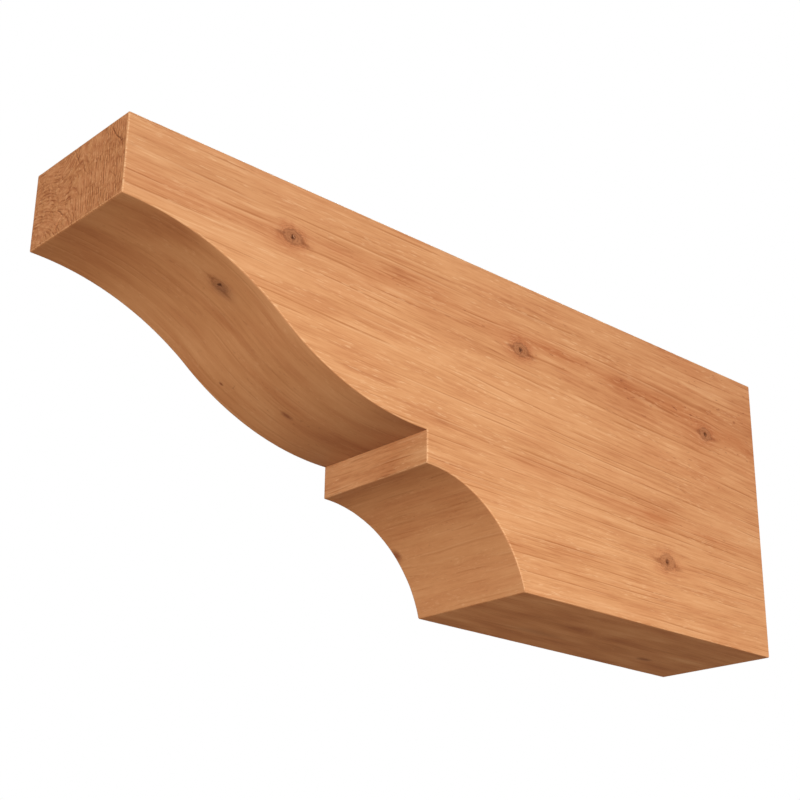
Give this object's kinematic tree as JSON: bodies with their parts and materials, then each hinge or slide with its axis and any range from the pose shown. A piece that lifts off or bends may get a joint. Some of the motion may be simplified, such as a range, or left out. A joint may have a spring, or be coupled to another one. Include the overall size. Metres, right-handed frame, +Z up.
{
  "type": "rafter tail",
  "caption": "Carved timber rafter tail for exposed eaves: ogee nose, square fillet and round cove on the underside, flat top, sawn square at the wall end.",
  "frame": {"origin": "centre of the sawn back end, which butts against the wall", "axes": "+Y points into the wall along the timber, so the nose points to -Y; +Z is up, towards the roof boards; X runs across the width"},
  "size_m": [0.14, 0.813, 0.305],
  "materials": {
    "softwood": "planed and sanded softwood with small knots, clear satin finish, warm orange brown"
  },
  "bodies": {
    "root": {"rafter_tail": "softwood"}
  },
  "joints": []
}
